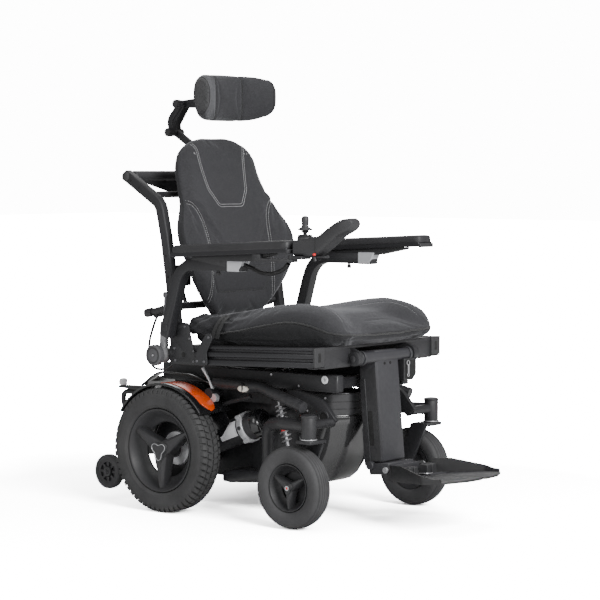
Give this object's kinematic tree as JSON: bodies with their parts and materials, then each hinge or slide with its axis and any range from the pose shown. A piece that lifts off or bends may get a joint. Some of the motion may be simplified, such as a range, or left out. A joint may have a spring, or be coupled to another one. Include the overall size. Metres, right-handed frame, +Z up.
{
  "type": "power wheelchair",
  "caption": "Mid-wheel power wheelchair with a tilting seat, reclining padded back, headrest, flip-back armrests, joystick pod, centre legrest, swivel casters and anti-tip wheels.",
  "frame": {"origin": "on the floor, under the middle of the bounding box", "axes": "+Z up; the chair faces -Y, so its left-hand side is +X"},
  "size_m": [0.668, 1.2595, 1.248],
  "materials": {
    "black_metal": "fine-textured black powder coat",
    "black_plastic": "matt moulded black plastic",
    "gloss_plastic": "glossy black moulded casing",
    "tyre_rubber": "dark grey block-tread rubber",
    "caster_rubber": "dark grey ribbed rubber",
    "seat_fabric": "black stretch fabric with visible fine weave",
    "pad_foam": "soft moulded armrest skin",
    "silver_metal": "plain die-cast and ground metal",
    "anodised": "black anodised extrusion",
    "battery_case": "dark grey battery case",
    "cable": "black cable sheath",
    "key_grey": "dark grey key cap"
  },
  "bodies": {
    "chassis": {"chassis_tray": "black_metal", "battery_front": "battery_case", "battery_rear": "battery_case", "motor_controller": "black_plastic", "front_shell": "gloss_plastic", "rear_cover": "gloss_plastic", "seat_base": "black_metal", "rear_frame": "black_metal", "drive_motor_left": "black_metal", "drive_motor_right": "black_metal", "fender_left": "gloss_plastic", "fender_right": "gloss_plastic", "upper_link_left": "black_metal", "upper_link_right": "black_metal", "caster_arm_left": "black_metal", "caster_arm_right": "black_metal"},
    "drive_wheel_left": {"drive_tyre_left": "tyre_rubber", "drive_rim_left": "black_plastic"},
    "caster_left": {"caster_fork_left": "black_metal"},
    "caster_wheel_left": {"caster_tyre_left": "caster_rubber", "caster_rim_left": "black_plastic"},
    "anti_tip_left": {"anti_tip_wheel_left": "caster_rubber"},
    "drive_wheel_right": {"drive_tyre_right": "tyre_rubber", "drive_rim_right": "black_plastic"},
    "caster_right": {"caster_fork_right": "black_metal"},
    "caster_wheel_right": {"caster_tyre_right": "caster_rubber", "caster_rim_right": "black_plastic"},
    "anti_tip_right": {"anti_tip_wheel_right": "caster_rubber"},
    "seat": {"seat_frame": "black_metal", "seat_rail_left": "anodised", "seat_rail_right": "anodised", "side_plate_left": "black_metal", "side_plate_right": "black_metal", "seat_cushion": "seat_fabric"},
    "tilt_body": {"tilt_actuator": "black_metal"},
    "tilt_rod": {"tilt_rod": "silver_metal"},
    "back": {"back_frame": "black_metal", "back_shell": "black_plastic", "back_pad": "seat_fabric", "actuator_cable": "cable"},
    "recline_body": {"recline_actuator": "silver_metal"},
    "recline_rod": {"recline_rod": "silver_metal"},
    "headrest_post": {"headrest_post": "black_metal"},
    "headrest_link": {"headrest_link": "black_metal"},
    "headrest": {"headrest_pad": "seat_fabric", "headrest_mount": "black_metal"},
    "armrest_left": {"arm_tube_left": "black_metal", "armpad_left": "pad_foam"},
    "armrest_right": {"arm_tube_right": "black_metal", "armpad_right": "pad_foam", "joystick_cable": "cable"},
    "joystick_pod": {"joystick_pod": "black_plastic"},
    "gimbal": {"joystick_gimbal": "silver_metal"},
    "joystick": {"joystick": "black_plastic"},
    "power_button": {"power_button": "key_grey"},
    "horn_button": {"horn_button": "key_grey"},
    "legrest": {"legrest_mast": "black_metal"},
    "legrest_slider": {"legrest_slider": "black_metal"},
    "footplate_left": {"footplate_left": "black_plastic"},
    "footplate_right": {"footplate_right": "black_plastic"}
  },
  "joints": [
    {"name": "drive_wheel_left_spin", "type": "hinge", "parent": "chassis", "child": "drive_wheel_left", "pos_m": [0.274, 0.2803, 0.178], "axis": [1, 0, 0], "continuous": true},
    {"name": "caster_left_swivel", "type": "hinge", "parent": "chassis", "child": "caster_left", "pos_m": [0.281, -0.2487, 0.243], "axis": [0, 0, 1], "continuous": true},
    {"name": "caster_left_spin", "type": "hinge", "parent": "caster_left", "child": "caster_wheel_left", "pos_m": [0.276, -0.1907, 0.114], "axis": [1, 0, 0], "continuous": true},
    {"name": "anti_tip_left_spin", "type": "hinge", "parent": "chassis", "child": "anti_tip_left", "pos_m": [0.205, 0.5783, 0.081], "axis": [1, 0, 0], "continuous": true},
    {"name": "drive_wheel_right_spin", "type": "hinge", "parent": "chassis", "child": "drive_wheel_right", "pos_m": [-0.274, 0.2803, 0.178], "axis": [1, 0, 0], "continuous": true},
    {"name": "caster_right_swivel", "type": "hinge", "parent": "chassis", "child": "caster_right", "pos_m": [-0.281, -0.2487, 0.243], "axis": [0, 0, 1], "continuous": true},
    {"name": "caster_right_spin", "type": "hinge", "parent": "caster_right", "child": "caster_wheel_right", "pos_m": [-0.276, -0.1907, 0.114], "axis": [1, 0, 0], "continuous": true},
    {"name": "anti_tip_right_spin", "type": "hinge", "parent": "chassis", "child": "anti_tip_right", "pos_m": [-0.205, 0.5783, 0.081], "axis": [1, 0, 0], "continuous": true},
    {"name": "seat_tilt", "type": "hinge", "parent": "chassis", "child": "seat", "pos_m": [0, 0.3803, 0.415], "axis": [-1, 0, 0], "range_deg": [0, 30]},
    {"name": "tilt_body_pivot", "type": "hinge", "parent": "chassis", "child": "tilt_body", "pos_m": [0, 0.2603, 0.337], "axis": [-1, 0, 0], "range_deg": [0, 36]},
    {"name": "tilt_rod_slide", "type": "slide", "parent": "tilt_body", "child": "tilt_rod", "axis": [0, -0.947, 0.3213], "range_m": [0, 0.071]},
    {"name": "back_recline", "type": "hinge", "parent": "seat", "child": "back", "pos_m": [0, 0.2653, 0.455], "axis": [-1, 0, 0], "range_deg": [0, 40]},
    {"name": "recline_body_pivot", "type": "hinge", "parent": "seat", "child": "recline_body", "pos_m": [-0.262, 0.3033, 0.449], "axis": [-1, 0, 0], "range_deg": [0, 43]},
    {"name": "recline_rod_slide", "type": "slide", "parent": "recline_body", "child": "recline_rod", "axis": [0, -0.0642, 0.9979], "range_m": [-0.028, 0]},
    {"name": "headrest_height", "type": "slide", "parent": "back", "child": "headrest_post", "axis": [0, 0, 1], "range_m": [0, 0.08]},
    {"name": "headrest_link_tilt", "type": "hinge", "parent": "headrest_post", "child": "headrest_link", "pos_m": [0, 0.4923, 1.088], "axis": [1, 0, 0], "range_deg": [-25, 6]},
    {"name": "headrest_pad_tilt", "type": "hinge", "parent": "headrest_link", "child": "headrest", "pos_m": [0, 0.4603, 1.172], "axis": [1, 0, 0], "range_deg": [-30, 8]},
    {"name": "armrest_left_flip", "type": "hinge", "parent": "seat", "child": "armrest_left", "pos_m": [0.294, 0.2523, 0.53], "axis": [-1, 0, 0], "range_deg": [0, 90]},
    {"name": "armrest_right_flip", "type": "hinge", "parent": "seat", "child": "armrest_right", "pos_m": [-0.294, 0.2523, 0.53], "axis": [-1, 0, 0], "range_deg": [0, 90]},
    {"name": "pod_swing", "type": "hinge", "parent": "armrest_right", "child": "joystick_pod", "pos_m": [-0.324, -0.2237, 0.745], "axis": [0, 0, -1], "range_deg": [0, 90]},
    {"name": "joystick_pitch", "type": "hinge", "parent": "joystick_pod", "child": "gimbal", "pos_m": [-0.298, -0.2497, 0.77], "axis": [1, 0, 0], "range_deg": [-13, 13], "stiffness_Nm_per_rad": 0.3},
    {"name": "joystick_roll", "type": "hinge", "parent": "gimbal", "child": "joystick", "pos_m": [-0.298, -0.2497, 0.77], "axis": [0, 1, 0], "range_deg": [-13, 13], "stiffness_Nm_per_rad": 0.3},
    {"name": "power_button_press", "type": "slide", "parent": "joystick_pod", "child": "power_button", "axis": [0, 0, -1], "range_m": [0, 0.0015], "stiffness_N_per_m": 600},
    {"name": "horn_button_press", "type": "slide", "parent": "joystick_pod", "child": "horn_button", "axis": [0, 0, -1], "range_m": [0, 0.0015], "stiffness_N_per_m": 600},
    {"name": "legrest_elevate", "type": "hinge", "parent": "seat", "child": "legrest", "pos_m": [0, -0.2897, 0.46], "axis": [-1, 0, 0], "range_deg": [0, 70]},
    {"name": "legrest_length", "type": "slide", "parent": "legrest", "child": "legrest_slider", "axis": [0, -0.0915, -0.9958], "range_m": [0, 0.08]},
    {"name": "footplate_left_fold", "type": "hinge", "parent": "legrest_slider", "child": "footplate_left", "pos_m": [0.071, -0.3607, 0.155], "axis": [-1, 0, 0], "range_deg": [0, 90]},
    {"name": "footplate_right_fold", "type": "hinge", "parent": "legrest_slider", "child": "footplate_right", "pos_m": [-0.071, -0.3607, 0.155], "axis": [-1, 0, 0], "range_deg": [0, 90]}
  ],
  "couplings": [
    {"joint": "tilt_body_pivot", "follows": "seat_tilt", "ratio": 1.1531},
    {"joint": "tilt_rod_slide", "follows": "seat_tilt", "m_per_rad": 0.13226},
    {"joint": "recline_body_pivot", "follows": "back_recline", "ratio": 1.0332},
    {"joint": "recline_rod_slide", "follows": "back_recline", "m_per_rad": -0.03733}
  ]
}
